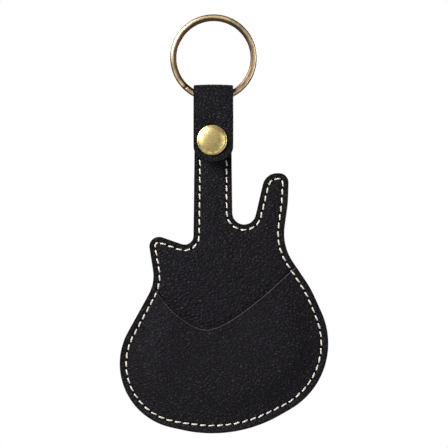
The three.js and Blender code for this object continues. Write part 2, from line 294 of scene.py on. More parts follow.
def rims(faces):
    """The closed edges of a set of flat triangles, the longest first, as lines of x and z."""
    sides = set()
    for face in faces:
        corners = [(round(float(x), 3), round(float(z), 3)) for x, z in face]
        sides.update(zip(corners, corners[1:] + corners[:1]))
    onward = {a: b for a, b in sides if (b, a) not in sides and a != b}
    loops = []
    while onward:
        start, loop = next(iter(onward)), []
        point = start
        while point in onward:
            loop.append(point)
            point = onward.pop(point)
        loops.append(np.array(loop))
    loops.sort(key=lambda p: -np.hypot(*np.diff(p, axis=0).T).sum())
    return [p if signed_area(p) > 0 else p[::-1] for p in loops]


def signed_area(loop):
    """Positive when the loop runs anticlockwise as seen from the front."""
    x, z = loop.T
    return float(np.sum(x * np.roll(z, -1) - z * np.roll(x, -1)) / 2)


print("body outline", len(rims(facing_triangles("front_panel", -1))[0]), "corners")

# %% [markdown]
# Such a line is made of short straight stretches. It is drawn again as a smooth curve with even
# steps, so that the leather's edge has no flats, and only the sharp corners of the pattern stay
# sharp.

# %% Smooth lines
SHARP_CORNER = math.radians(35)  # a sharper turn than this stays a corner


def soften(run, spacing):
    """Even steps along a smooth curve through an open line's points."""
    along = np.r_[0, np.cumsum(np.hypot(*np.diff(run, axis=0).T))]
    slope = np.empty_like(run)
    slope[1:-1] = (run[2:] - run[:-2]) / (along[2:] - along[:-2])[:, None]
    slope[0] = (run[1] - run[0]) / along[1]
    slope[-1] = (run[-1] - run[-2]) / (along[-1] - along[-2])
    t = np.linspace(0, along[-1], 8 * len(run) + int(4 * along[-1] / spacing))
    i = np.clip(np.searchsorted(along, t, "right") - 1, 0, len(run) - 2)
    gap = (along[i + 1] - along[i])[:, None]
    s = (t - along[i])[:, None] / gap
    fine = (
        (2 * s**3 - 3 * s**2 + 1) * run[i]
        + (s**3 - 2 * s**2 + s) * gap * slope[i]
        + (3 * s**2 - 2 * s**3) * run[i + 1]
        + (s**3 - s**2) * gap * slope[i + 1]
    )
    arc = np.r_[0, np.cumsum(np.hypot(*np.diff(fine, axis=0).T))]
    even = np.linspace(0, arc[-1], max(2, round(arc[-1] / spacing) + 1))
    return np.stack([np.interp(even, arc, fine[:, k]) for k in (0, 1)], axis=1)


def smooth_loop(loop, spacing):
    """A closed line drawn again as smooth curves between its sharp corners, with even steps."""
    before, after = loop - np.roll(loop, 1, axis=0), np.roll(loop, -1, axis=0) - loop
    turn = np.arctan2(
        before[:, 0] * after[:, 1] - before[:, 1] * after[:, 0], (before * after).sum(axis=1)
    )
    corners = np.flatnonzero(np.abs(turn) > SHARP_CORNER)
    if len(corners) == 0:
        corners = np.array([int(np.abs(turn).argmin())])
    ring = np.roll(loop, -corners[0], axis=0)
    stops = [*(corners - corners[0]), len(ring)]
    ring = np.vstack([ring, ring[:1]])
    return np.vstack([soften(ring[a : b + 1], spacing)[:-1] for a, b in zip(stops, stops[1:])])


# %% [markdown]
# The leather's thickness, the depth of each layer and the radius of the strap's fold all come
# from the frame. They are kept in capitals, because every later piece is built on them.

# %% Measures of the leather
LEATHER = high("front_panel", "y") - low("front_panel", "y")
BACK_Y = high("back_panel", "y")
FRONT_Y = low("front_panel", "y")
POCKET_Y = FRONT_Y - LEATHER
FOLD_Z = low("strap_fold", "z")
FOLD_MIDDLE = BACK_Y - LEATHER / 2  # radius of the fold's mid layer
EDGE_STEP = 0.42

body_edge = smooth_loop(rims(facing_triangles("front_panel", -1, FRONT_Y))[0], EDGE_STEP)
print("leather", round(LEATHER, 2), "mm, front outline", len(body_edge), "points")

# %% [markdown]
# The needle follows one line all round the pouch, halfway between the two edges of the thread's
# node. Its length decides the stitches: a whole number of them has to go into it.

# %% Seam line
USUAL_PITCH = 2.93  # from one needle hole to the next
thread_rims = rims(facing_triangles("bobbin_thread", 1, BACK_Y))
outer_rim, inner_rim = (smooth_loop(loop, 0.2) for loop in thread_rims[:2])
nearest = [np.argmin(np.hypot(*(inner_rim - p).T)) for p in outer_rim]
seam = (outer_rim + inner_rim[nearest]) / 2
seam_line = seam[::2]
seam_closed = np.vstack([seam_line, seam_line[:1]])
seam_places = np.r_[0, np.cumsum(np.hypot(*np.diff(seam_closed, axis=0).T))]
seam_total = seam_places[-1]
STITCH_COUNT = round(seam_total / USUAL_PITCH)
STITCH_PITCH = seam_total / STITCH_COUNT
print("seam", round(seam_total, 1), "mm,", STITCH_COUNT, "stitches")


# %% [markdown]
# Two questions come up again and again in the leather: how far is this point from that line, and
# is it inside that outline? Both are answered for thousands of points at once.

# %% Distances and insides
def nearest_on(path, points, closed=True):
    """How far each point is from a path, and how far along the path its nearest place is."""
    start = path if closed else path[:-1]
    side = (np.roll(path, -1, axis=0) - path) if closed else np.diff(path, axis=0)
    length = np.hypot(*side.T)
    along = np.r_[0, np.cumsum(length)][:-1]
    distance, place = np.empty(len(points)), np.empty(len(points))
    for k in range(0, len(points), 2000):
        some = points[k : k + 2000, None]
        t = np.clip(((some - start) * side).sum(-1) / (length**2 + 1e-12), 0, 1)
        gap = np.hypot(*np.moveaxis(some - start - t[..., None] * side, -1, 0))
        best = gap.argmin(axis=1)
        rows = np.arange(len(best))
        distance[k : k + 2000] = gap[rows, best]
        place[k : k + 2000] = along[best] + t[rows, best] * length[best]
    return distance, place


def inside(loop, points):
    """Which points lie inside a closed loop."""
    x, z = points.T
    found = np.zeros(len(points), bool)
    for (x0, z0), (x1, z1) in zip(loop, np.roll(loop, -1, axis=0)):
        if z0 != z1:
            found ^= ((z0 > z) != (z1 > z)) & (x < (x1 - x0) * (z - z0) / (z1 - z0) + x0)
    return found


# %% [markdown]
# The pocket's outline is partly the pouch's own edge. What lies clear of that edge is the mouth,
# the wavy line that stays open for the picks.

# %% Pocket mouth
CLEAR_OF_EDGE = 0.12
pocket_rim = rims(facing_triangles("pocket_panel", -1))[0]
on_mouth = nearest_on(body_edge, pocket_rim)[0] > CLEAR_OF_EDGE
mouth = pocket_rim[on_mouth]
mouth = soften(mouth[np.argsort(mouth[:, 0])], EDGE_STEP)
print("mouth", len(mouth), "points from x", mouth[0].round(1), "to", mouth[-1].round(1))

# %% [markdown]
# A sheet of leather starts as its flat pattern, the shape that a clicker knife cuts. The pattern
# is filled with points, closer together where it will curve: along its cut edge, along the seam
# and in the fold. Even rows follow the lines, and a honeycomb of points fills the rest.

# %% Points for a pattern
EDGE_ROWS = (0.1, 0.22, 0.38, 0.6, 0.9)
SEAM_ROWS = (-0.85, -0.6, -0.4, -0.2, 0.0, 0.2, 0.4, 0.6, 0.85)


def row_beside(path, offset, closed=True):
    """The points of a path moved sideways, to its left when the offset is positive."""
    ahead = np.roll(path, -1, axis=0) - np.roll(path, 1, axis=0)
    if not closed:
        ahead = np.gradient(path, axis=0)
    ahead /= np.hypot(*ahead.T)[:, None] + 1e-12
    return path + offset * np.stack([-ahead[:, 1], ahead[:, 0]], axis=1)


def hexagons(bounds_low, bounds_high, step):
    """Evenly scattered points over a rectangle, in staggered rows."""
    points = []
    for k, z in enumerate(np.arange(bounds_low[1], bounds_high[1], step * 0.866)):
        x = np.arange(bounds_low[0] + step / 2 * (k % 2), bounds_high[0], step)
        points.append(np.stack([x, np.full_like(x, z)], axis=1))
    return np.vstack(points)


def thinned(points, gap):
    """The points left when each one too close to an earlier one is dropped."""
    taken, kept = {}, []
    for p in points:
        cell = (int(p[0] // gap), int(p[1] // gap))
        near = (taken.get((cell[0] + i, cell[1] + j)) for i in (-1, 0, 1) for j in (-1, 0, 1))
        if all(q is None or (q[0] - p[0]) ** 2 + (q[1] - p[1]) ** 2 > gap * gap for q in near):
            taken[cell] = p
            kept.append(p)
    return np.array(kept)


print(len(EDGE_ROWS), "rows along a cut edge,", len(SEAM_ROWS), "along the seam")

# %% [markdown]
# The points are joined into triangles by a method that keeps the outline's own sides. Filling the
# outline with one big face would be quicker, but a big face can't bend or take a groove.

# %% Flat pattern
FILLING_STEP = 0.85
CLOSEST = 0.24  # points nearer together than this are thinned out


def pattern(outline, extra_rows=(), fine=None):
    """A flat pattern: its points in millimetres, its triangles and its number of rim points."""
    rows = np.vstack([row_beside(outline, d) for d in EDGE_ROWS])
    rows = rows[inside(outline, rows)]
    depth = nearest_on(outline, rows)[0]
    off_row = np.abs(depth[:, None] - EDGE_ROWS).min(axis=1)
    rows = rows[off_row < 0.01]
    beside = np.vstack([row_beside(seam_line, d) for d in SEAM_ROWS] + list(extra_rows))
    filling = hexagons(outline.min(axis=0), outline.max(axis=0), FILLING_STEP)
    if fine is not None:
        filling = np.vstack([fine, filling])
    more = np.vstack([beside, filling])
    more = more[inside(outline, more)]
    more = more[nearest_on(outline, more)[0] > EDGE_ROWS[-1] + CLOSEST / 2]
    points = np.vstack([rows, thinned(more, CLOSEST)])
    count = len(outline)
    everything = [Vector(p) for p in np.vstack([outline, points])]
    sides = [(i, (i + 1) % count) for i in range(count)]
    out = delaunay_2d_cdt(everything, sides, [], 1, 1e-6)
    triangles = np.array([f for f in out[2]])
    flat = np.array([tuple(v) for v in out[0]])
    return flat, triangles, count


front_pattern = pattern(body_edge)
print("front pattern", len(front_pattern[0]), "points,", len(front_pattern[1]), "triangles")

# %% [markdown]
# Doubled, front and back with a wall between them, a pattern is a sheet with a real thickness.
# The sheet remembers where each of its points lay on the flat pattern, how deep it is from the
# cut edge, and which side is grain and which is suede, because the finish is drawn from those.

# %% Sheet from a pattern
def sheet_of(name, flat_pattern, outer, inner, attributes):
    """A closed sheet from a flat pattern and the places of its two faces, in millimetres."""
    flat, triangles, count = flat_pattern
    n = len(flat)
    rim = np.arange(count)
    after = np.roll(rim, -1)
    points = np.vstack([outer, inner, (outer[:count] + inner[:count]) / 2])
    faces = [tuple(t) for t in triangles] + [tuple(t[::-1] + n) for t in triangles]
    upper = np.stack([rim, 2 * n + rim, 2 * n + after, after], axis=1)
    lower = np.stack([2 * n + rim, n + rim, n + after, 2 * n + after], axis=1)
    faces += [tuple(f) for f in np.vstack([upper, lower])]
    piece = new_piece(name, points, [[int(i) for i in f] for f in faces])
    for key, values in attributes.items():
        store(piece.data, key, np.concatenate([values, values, values[:count]]))
    thickness = np.concatenate([np.zeros(n), np.full(n, LEATHER), np.full(count, LEATHER / 2)])
    store(piece.data, "flat", np.column_stack([np.vstack([flat, flat, flat[:count]]), thickness]))
    store(piece.data, "grain_side", np.concatenate([np.ones(n), np.zeros(n), np.full(count, 0.5)]))
    bpy.ops.object.mode_set(mode="EDIT")
    face_outwards()
    bpy.ops.object.shade_smooth()
    print(name, len(piece.data.polygons), "faces")
    return piece


print("a sheet is", round(LEATHER, 2), "mm thick")

# %% [markdown]
# Thread pulled tight sinks into leather. Every stitch lies in a narrow groove, and where the needle
# went through, the groove drops into a small hole. The margin outside the seam stays a little
# proud, and the cut edge is rubbed round before it is painted.

# %% The leather's relief
EDGE_ROUND = 0.32
HOLE_WIDTH = 0.38
GROOVE_WIDTH = 0.42
GROOVE_DEPTH = 0.15
PULL_WIDTH = 1.25  # the shallow dip that the tight thread draws beside the groove
PULL_DEPTH = 0.12


def rounding(depth):
    """How far the surface drops near the cut edge."""
    t = np.clip(1 - depth / EDGE_ROUND, 0, 1)
    return EDGE_ROUND * (1 - np.sqrt(1 - t * t * 0.96))


def stitch_relief(across, along):
    """How far the surface drops at the seam, from the distance across it and along it."""
    phase = along / STITCH_PITCH
    from_hole = np.abs(phase - np.round(phase)) * STITCH_PITCH
    hole = np.exp(-((from_hole / HOLE_WIDTH) ** 2))
    groove = GROOVE_DEPTH * np.exp(-((across / GROOVE_WIDTH) ** 2)) * (1 + 1.3 * hole)
    return groove + PULL_DEPTH * np.exp(-((across / PULL_WIDTH) ** 2))


def smoothstep(t):
    """Goes from 0 to 1 with a soft start and a soft stop."""
    t = np.clip(t, 0, 1)
    return t * t * (3 - 2 * t)


def seam_facts(points):
    """Distance from the seam, positive inside it, and the place along it."""
    across, along = nearest_on(seam_line, points)
    return np.where(inside(seam_line, points), across, -across), along


print("deepest groove", round(float(stitch_relief(0.0, 0.0)), 2), "mm")

# %% [markdown]
# The front leather is the guitar shape: a slim neck, a short horn at the left, a long one at the
# right, and the body. It lies on the back leather and the two are sewn together all the way round.

# %% Front leather
front_points = front_pattern[0]
front_depth = nearest_on(body_edge, front_points)[0]
front_across, front_along = seam_facts(front_points)
front_drop = rounding(front_depth) + stitch_relief(front_across, front_along)
front_swell = 0.16 * smoothstep((front_across - 0.6) / 5)
front_outer = np.column_stack(
    [front_points[:, 0], FRONT_Y + front_drop - front_swell, front_points[:, 1]]
)
front_inner = np.column_stack(
    [front_points[:, 0], FRONT_Y + LEATHER - 0.6 * rounding(front_depth), front_points[:, 1]]
)
front_leather = sheet_of(
    "front_leather",
    front_pattern,
    front_outer,
    front_inner,
    {"edge": front_depth, "seam": front_across},
)

# %% [markdown]
# The pocket leather covers the lower part of the body and is sewn into the same seam. Its top edge
# is cut in a wave and left free: that is the mouth a pick slides into. Leather worn over a few
# picks keeps a belly, so the pocket stands away from the front and its mouth gapes a little.

# %% Pocket outline
UNDER_HORNS_Z = -80
LIP_CLEAR = 0.25  # the lip's line stops this far inside the body's edge
before, beyond = mouth[0] - mouth[3], mouth[-1] - mouth[-4]
lead_in = mouth[0] + before * 3 / np.hypot(*before)
run_out = mouth[-1] + beyond * 4 / np.hypot(*beyond)
mouth_line = soften(np.vstack([lead_in, mouth[::6], run_out]), EDGE_STEP)
under_mouth = body_edge[:, 1] < np.interp(body_edge[:, 0], *mouth_line.T)
below = under_mouth & (body_edge[:, 1] < mouth_line[:, 1].max())
below &= body_edge[:, 1] < UNDER_HORNS_Z
turn = np.flatnonzero(below & ~np.roll(below, 1))[0]
lower_edge = np.roll(body_edge, -turn, axis=0)[: below.sum()]
lip = mouth_line[inside(body_edge, mouth_line) & (nearest_on(body_edge, mouth_line)[0] > LIP_CLEAR)]
pocket_edge = np.vstack([lower_edge, lip[::-1]])
print("pocket outline", len(pocket_edge), "points,", len(lip), "of them on the lip")

# %% [markdown]
# The pocket rises from the seam in a soft slope and is highest in the middle. At the lip it
# stands out only about half as far, since nothing but the leather's own stiffness holds it up.
# Its pattern gets extra rows of points along the lip, where that slope changes.

# %% Pocket leather
POCKET_RISE = 2.55
RISE_WIDTH = 10.5
LIP_SHARE = 0.5
LIP_REACH = 9
LIP_ROWS = (-1.3, -1.8, -2.4, -3)


def pocket_swell(points):
    """How far the pocket stands forward of its sewn rim."""
    across = seam_facts(points)[0]
    from_lip = nearest_on(lip, points, closed=False)[0]
    at_lip = 1 - (1 - LIP_SHARE) * np.exp(-((from_lip / LIP_REACH) ** 2))
    return POCKET_RISE * smoothstep((across - 0.7) / RISE_WIDTH) * at_lip


pocket_pattern = pattern(pocket_edge, [row_beside(lip, d, closed=False) for d in LIP_ROWS])
pocket_points = pocket_pattern[0]
pocket_depth = nearest_on(pocket_edge, pocket_points)[0]
pocket_across, pocket_along = seam_facts(pocket_points)
pocket_out = pocket_swell(pocket_points)
pocket_drop = rounding(pocket_depth) + stitch_relief(pocket_across, pocket_along)
pocket_outer = np.column_stack(
    [pocket_points[:, 0], POCKET_Y - pocket_out + pocket_drop, pocket_points[:, 1]]
)
pocket_inner = np.column_stack(
    [
        pocket_points[:, 0],
        FRONT_Y - np.maximum(pocket_out, 0.02) - 0.6 * rounding(pocket_depth),
        pocket_points[:, 1],
    ]
)
pocket_leather = sheet_of(
    "pocket_leather",
    pocket_pattern,
    pocket_outer,
    pocket_inner,
    {
        "edge": pocket_depth,
        "seam": pocket_across,
        "lip": np.exp(-((nearest_on(lip, pocket_points, closed=False)[0] / 0.3) ** 2)),
    },
)

# %% [markdown]
# The back leather is one long piece. Its lower part matches the front, and above the neck it goes
# on as a strap that is turned over the ring and hangs down in front as a flap with a round end.
# The pattern is drawn flat, as it was cut, with the strap straight up.

# %% Back pattern
FOLD_LENGTH = math.pi * FOLD_MIDDLE
FOLD_STEP = 0.42
back_edge = rims(facing_triangles("back_panel", -1, FRONT_Y + LEATHER))[0]
flap_edge = rims(facing_triangles("strap_flap", -1, low("strap_flap", "y")))[0]


def from_corner(loop, x, z):
    """A loop started again at its point nearest to the one given."""
    return np.roll(loop, -int(np.hypot(loop[:, 0] - x, loop[:, 1] - z).argmin()), axis=0)


strap_left, strap_right = low("strap_fold", "x"), high("strap_fold", "x")
back_edge = from_corner(back_edge, strap_left, FOLD_Z)
flap_edge = from_corner(flap_edge, strap_left, flap_edge[:, 1].max())
flap_up = np.column_stack([flap_edge[:, 0], 2 * FOLD_Z + FOLD_LENGTH - flap_edge[:, 1]])[::-1]
strap_edge = smooth_loop(np.vstack([back_edge, flap_up]), EDGE_STEP)
FLAP_U = FOLD_Z + FOLD_LENGTH  # where the fold ends and the flap begins, along the flat strap
fold_points = hexagons((strap_left, FOLD_Z - 2), (strap_right, FLAP_U + 2), FOLD_STEP)
back_pattern = pattern(strap_edge, fine=fold_points)
print("back pattern", len(back_pattern[0]), "points,", round(FOLD_LENGTH, 1), "mm round the fold")

# %% [markdown]
# The flat strap is bent round the fold, which keeps its own radius, since leather this thick
# won't crease flat without cracking. The snap presses a shallow ring into the flap, and between
# the fold and the snap the flap bulges a little, because the snap pulls it back against the neck.

# %% Back leather
SNAP_X = (low("snap_cap", "x") + high("snap_cap", "x")) / 2
SNAP_Z = (low("snap_cap", "z") + high("snap_cap", "z")) / 2
SNAP_U = FLAP_U + FOLD_Z - SNAP_Z
CAP_RADIUS = (high("snap_cap", "x") - low("snap_cap", "x")) / 2
HALF_STRAP = 6.85
BULGE = 0.5  # the flap's swell between the fold and the snap
BULGE_DOWN = 6
BULGE_REACH = 3.4


def bent(points, out):
    """The place on the folded strap of each flat point, with out the height above the mid layer."""
    x, u = points.T
    turn = np.clip((u - FOLD_Z) / FOLD_MIDDLE, 0, math.pi)
    past = np.clip(u - FLAP_U, 0, None)
    y = (FOLD_MIDDLE + out) * np.cos(turn)
    z = np.minimum(u, FOLD_Z) + (FOLD_MIDDLE + out) * np.sin(turn) - past
    return np.column_stack([x, y, z])


back_points = back_pattern[0]
back_depth = nearest_on(strap_edge, back_points)[0]
back_across, back_along = seam_facts(back_points)
on_flap = smoothstep((back_points[:, 1] - FOLD_Z) / 4)
from_snap = np.hypot(back_points[:, 0] - SNAP_X, back_points[:, 1] - SNAP_U)
pressed = 0.3 * np.exp(-(((from_snap - CAP_RADIUS + 0.6) / 1.5) ** 2)) * on_flap
from_middle = np.clip(back_points[:, 0] / HALF_STRAP, -1, 1)
belly = 0.22 * np.cos(from_middle * math.pi / 2) * on_flap
down_flap = back_points[:, 1] - FLAP_U
belly += BULGE * np.exp(-(((down_flap - BULGE_DOWN) / BULGE_REACH) ** 2)) * on_flap
back_drop = rounding(back_depth) + stitch_relief(back_across, back_along) * (1 - on_flap) + pressed
back_leather = sheet_of(
    "back_leather",
    back_pattern,
    bent(back_points, LEATHER / 2 - back_drop + belly),
    bent(back_points, -LEATHER / 2 + 0.6 * rounding(back_depth) - 0.5 * pressed + 0.8 * belly),
    {
        "edge": back_depth,
        "seam": np.where(on_flap > 0, 9, back_across),
        # Where painted shade darkens the top of the fold.
        "fold_top_shade": np.exp(-(((back_points[:, 1] - FOLD_Z) / FOLD_LENGTH - 0.6) / 0.22) ** 2),
    },
)

# %% [markdown]
# The thread is a lockstitch in cream: one thread shows on the front and another on the back, and
# they lock together inside each needle hole. One stitch is modelled as a short fat rod with
# bevelled ends. It has only a few dozen faces, because there are more than two hundred of them.

# %% One stitch
THREAD = 0.52
STITCH = 2.2
clear_selection()
bpy.ops.mesh.primitive_cylinder_add(
    vertices=8, radius=THREAD / 2 * MM, depth=STITCH * MM, rotation=(0, math.pi / 2, 0)
)
stitch = bpy.context.object
bpy.ops.object.transform_apply(location=False, rotation=True, scale=False)
bpy.ops.object.mode_set(mode="EDIT")
bevel_ends(0.16, 1)
print("rod", STITCH, "mm long,", THREAD, "mm thick")

# %% [markdown]
# The rod's long faces are cut across in three places, so that it can follow the curve of the seam
# and turn its ends down into the needle holes.

# %% Cuts across the stitch
CUTS = (-0.25, 0.0, 0.25)
cut_reach = STITCH - 0.4
for cut in CUTS:
    bpy.ops.mesh.select_all(action="SELECT")
    place = (cut * cut_reach * MM, 0, 0)
    bpy.ops.mesh.bisect(plane_co=place, plane_no=(1, 0, 0), threshold=0.0001 * MM)
bpy.ops.object.mode_set(mode="OBJECT")
stitch_points = np.array([v.co for v in stitch.data.vertices]) / MM
stitch_faces = [tuple(p.vertices) for p in stitch.data.polygons]
bpy.data.objects.remove(stitch)
print("one stitch:", len(stitch_faces), "faces")

# %% [markdown]
# The front thread runs on two levels: on the pocket leather round the body, and one layer lower
# on the front leather above it. Where it crosses the mouth it steps down softly, as a thread
# under tension does. The back thread stays on one level.

# %% Levels along the seam
fine_places = np.arange(0, seam_total, 0.1)
fine_points = np.column_stack([np.interp(fine_places, seam_places, seam_closed[:, k]) for k in (0, 1)])
front_level = np.where(inside(pocket_edge, fine_points), POCKET_Y, FRONT_Y)
window = np.exp(-((np.arange(-12, 13) / 6) ** 2))
padded = np.concatenate([front_level[-12:], front_level, front_level[:12]])
front_level = np.convolve(padded, window / window.sum(), "valid")
back_level = np.full_like(front_level, BACK_Y)
print("front thread lies at y", round(POCKET_Y, 2), "and", round(FRONT_Y, 2), "mm")

# %% [markdown]
# The stitch is laid along the seam again and again. Each leans a little, as machine stitches do,
# and no two are quite alike, because the leather gives a little differently under every one.

# %% Rows of stitches
LEAN = math.radians(6)
DIVE = 0.42  # how deep a stitch's ends go into their holes


def stitch_row(name, level, outward, sink, node):
    """Stitches laid end to end along the seam on one face, sunk in their groove."""
    rng = np.random.default_rng(11)
    points, faces, ply = [], [], []
    for k in range(STITCH_COUNT):
        lean = LEAN * outward + rng.normal(0, math.radians(1.5))
        a, b, c = stitch_points.T
        b = b * (1 + rng.normal(0, 0.03))
        a, b = a * math.cos(lean) - b * math.sin(lean), a * math.sin(lean) + b * math.cos(lean)
        dive = DIVE * np.abs(a / (STITCH / 2)) ** 3
        place = ((k + 0.5) * STITCH_PITCH + a) % seam_total
        x, z = (np.interp(place, seam_places, seam_closed[:, i]) for i in (0, 1))
        ahead, behind = (place + 0.4) % seam_total, (place - 0.4) % seam_total
        after = [np.interp(ahead, seam_places, seam_closed[:, i]) for i in (0, 1)]
        earlier = [np.interp(behind, seam_places, seam_closed[:, i]) for i in (0, 1)]
        slope = np.column_stack(after) - np.column_stack(earlier)
        slope /= np.hypot(*slope.T)[:, None]
        y = np.interp(place, fine_places, level, period=seam_total)
        height = c - sink - dive
        faces += [tuple(i + len(points) * len(a) for i in f) for f in stitch_faces]
        points.append(np.column_stack([x - b * slope[:, 1], y - outward * height, z + b * slope[:, 0]]))
        ply.append(stitch_points + (k * 0.37, 0, 0))
    piece = new_piece(name, np.vstack(points), faces)
    store(piece.data, "ply", np.vstack(ply))
    bpy.ops.object.mode_set(mode="EDIT")
    face_outwards()
    bpy.ops.object.shade_smooth()
    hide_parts(node)
    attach(piece, "pouch")
    print(name, STITCH_COUNT, "stitches,", len(faces), "faces")
    return piece


needle_stitches = stitch_row("needle_stitches", front_level, 1, 0.08, "needle_thread")
bobbin_stitches = stitch_row("bobbin_stitches", back_level, -1, 0.2, "bobbin_thread")

# %% [markdown]
# The key ring is a split ring: one spring-steel wire of oval section wound twice round, plated in
# antique brass. It is made the way the wire is wound, and starts from one oval section.

# %% Section of the ring's wire
RING_OUT = (high("key_ring", "z") - low("key_ring", "z")) / 2
RING_Z = (high("key_ring", "z") + low("key_ring", "z")) / 2
WIRE_WIDE = 2.2
WIRE_THICK = 1.2
COIL_Y = high("key_ring", "y") - WIRE_THICK / 2
RING_START = math.radians(228)
wire_radius = RING_OUT - WIRE_WIDE / 2

clear_selection()
bpy.ops.mesh.primitive_circle_add(
    vertices=20,
    radius=1,
    location=(
        wire_radius * math.cos(RING_START) * MM,
        -COIL_Y * MM,
        (RING_Z + wire_radius * math.sin(RING_START)) * MM,
    ),
    rotation=(0, -RING_START, 0),
)
split_ring = bpy.context.object
split_ring.name = "split_ring"
split_ring.scale = (WIRE_WIDE / 2 * MM, WIRE_THICK / 2 * MM, 1)
bpy.ops.object.transform_apply(location=True, rotation=True, scale=True)
print("ring", round(2 * RING_OUT, 1), "mm across, wire", WIRE_WIDE, "by", WIRE_THICK, "mm")

# %% [markdown]
# The section is turned about the ring's middle: once for the front coil, then on in short turns
# that each move it back a little, and once more for the back coil. The two coils lie face to
# face, and the short turns are the step by which a key is threaded on.

# %% Winding the ring
FRONT_TURN = math.radians(298)
STEP_TURN = math.radians(50)
BACK_TURN = math.radians(305)
STEP_PARTS = 12
bpy.ops.object.mode_set(mode="EDIT")
bpy.ops.mesh.select_mode(type="EDGE")
bpy.ops.mesh.select_all(action="SELECT")


def wind(angle, steps):
    """Turns the selected end of the wire on round the ring, clockwise as seen from the front."""
    bpy.ops.mesh.spin(steps=steps, angle=angle, center=(0, 0, RING_Z * MM), axis=(0, 1, 0))


wind(FRONT_TURN, 140)
for k in range(STEP_PARTS):
    wind(STEP_TURN / STEP_PARTS, 2)
    share = smoothstep((k + 1) / STEP_PARTS) - smoothstep(k / STEP_PARTS)
    bpy.ops.transform.translate(value=(0, float(share) * 2 * COIL_Y * MM, 0))
wind(BACK_TURN, 142)
close_openings()
bevel_ends(0.1, 2)
face_outwards()
bpy.ops.object.shade_smooth_by_angle(angle=math.radians(40))
ring_size = [round(side / MM, 2) for side in split_ring.dimensions]
print("split ring", len(split_ring.data.polygons), "faces", ring_size)

# %% [markdown]
# Painted shade darkens the ring along the inside and the outside of the wire, and a painted shadow
# darkens it at the cut, beside the front coil's end. So the mesh keeps how far each point is from the
# wire's middle line and from the cut end.

# %% Where the ring stays dark
CUT_AT = 225.6
CUT_WIDTH = 2.6
wire = np.array([v.co for v in split_ring.data.vertices]) / MM
from_centre = (np.hypot(wire[:, 0], wire[:, 2] - RING_Z) - wire_radius) / (WIRE_WIDE / 2)
round_ring = np.degrees(np.arctan2(wire[:, 2] - RING_Z, wire[:, 0])) % 360
near_cut = np.exp(-(((round_ring - CUT_AT) / CUT_WIDTH) ** 2))
store(split_ring.data, "from_centre", from_centre)
store(split_ring.data, "near_cut", near_cut)
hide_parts("key_ring")
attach(split_ring, "ring")
print("darkest within", CUT_WIDTH, "degrees of the cut")

# %% [markdown]
# The snap is four turned parts and a pair of springs. Turned parts are made here as on a lathe: a
# circle is drawn out, moved along the axis and widened or narrowed in turn. Each part is given as
# a list of radii and depths, and every radius is measured from the snap's own axis.

# %% Turned parts
def turned(name, outline, node, body, sides=64):
    """A turned part about the snap's axis, from its outline of radius and depth in millimetres."""
    clear_selection()
    radius, depth = outline[0]
    bpy.ops.mesh.primitive_circle_add(
        vertices=sides,
        radius=radius * MM,
        location=(SNAP_X * MM, depth * MM, SNAP_Z * MM),
        rotation=(math.pi / 2, 0, 0),
    )
    part = bpy.context.object
    part.name = name
    bpy.ops.object.transform_apply(location=True, rotation=True, scale=True)
    bpy.ops.object.mode_set(mode="EDIT")
    bpy.ops.mesh.select_mode(type="EDGE")
    bpy.ops.mesh.select_all(action="SELECT")
    for wider, deeper in outline[1:]:
        move = (0, (deeper - depth) * MM, 0)
        bpy.ops.mesh.extrude_region_move(TRANSFORM_OT_translate={"value": move})
        centre = (SNAP_X * MM, deeper * MM, SNAP_Z * MM)
        if wider > 0:
            bpy.ops.transform.resize(value=(wider / radius, 1, wider / radius), center_override=centre)
        else:
            bpy.ops.mesh.merge(type="CENTER")
        radius, depth = wider, deeper
    bpy.ops.mesh.select_all(action="SELECT")
    bpy.ops.mesh.remove_doubles(threshold=0.002 * MM)
    close_openings()
    face_outwards()
    bpy.ops.object.shade_smooth_by_angle(angle=math.radians(38))
    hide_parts(node)
    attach(part, body)
    print(name, len(part.data.polygons), "faces")
    return part


print("snap axis at x", round(SNAP_X, 2), "z", round(SNAP_Z, 2))

# %% [markdown]
# The cap is the part that shows: a shallow dome pressed from brass sheet, with a rim rolled round
# its edge and a shank that goes through the flap. The dome isn't a slice of a ball: it is flatter
# in the middle and steeper at the rim.

# %% Cap
CAP_APEX = low("snap_cap", "y")
CAP_RIM = low("strap_flap", "y")
FLAP_BACK = high("strap_flap", "y")
DOME_RADIUS = CAP_RADIUS - 0.42
DOME_TOP = CAP_APEX + 0.12
DOME_DEPTH = 1.05
cap_dome = [
    (DOME_RADIUS * math.sin(t), DOME_TOP + DOME_DEPTH * (1 - (1 - math.sin(t) ** 2.8) ** 0.6))
    for t in np.linspace(math.pi / 2, 0, 16)[1:-1]
]
snap_cap = turned(
    "snap_cap_dome",
    [
        (0.9, FLAP_BACK + 0.55),
        (1.5, FLAP_BACK + 0.5),
        (1.45, FLAP_BACK),
        (1.45, CAP_RIM),
        (CAP_RADIUS - 0.5, CAP_RIM + 0.1),
        (CAP_RADIUS - 0.15, CAP_RIM + 0.05),
        (CAP_RADIUS, CAP_RIM - 0.14),
        (CAP_RADIUS + 0.02, CAP_RIM - 0.34),
        (CAP_RADIUS - 0.08, CAP_RIM - 0.52),
        (CAP_RADIUS - 0.26, CAP_RIM - 0.62),
        (CAP_RADIUS - 0.4, CAP_RIM - 0.66),
        *cap_dome,
        (0, DOME_TOP),
    ],
    "snap_cap",
    "flap",
)
cap_wire = np.array([v.co for v in snap_cap.data.vertices]) / MM
from_axis = np.hypot(cap_wire[:, 0] - SNAP_X, cap_wire[:, 2] - SNAP_Z) / CAP_RADIUS
store(snap_cap.data, "from_axis", from_axis)

# %% [markdown]
# The socket is clinched to the cap's shank behind the flap, so that the two grip the leather. It
# is a cup with an inward lip, and its two springs sit behind that lip.

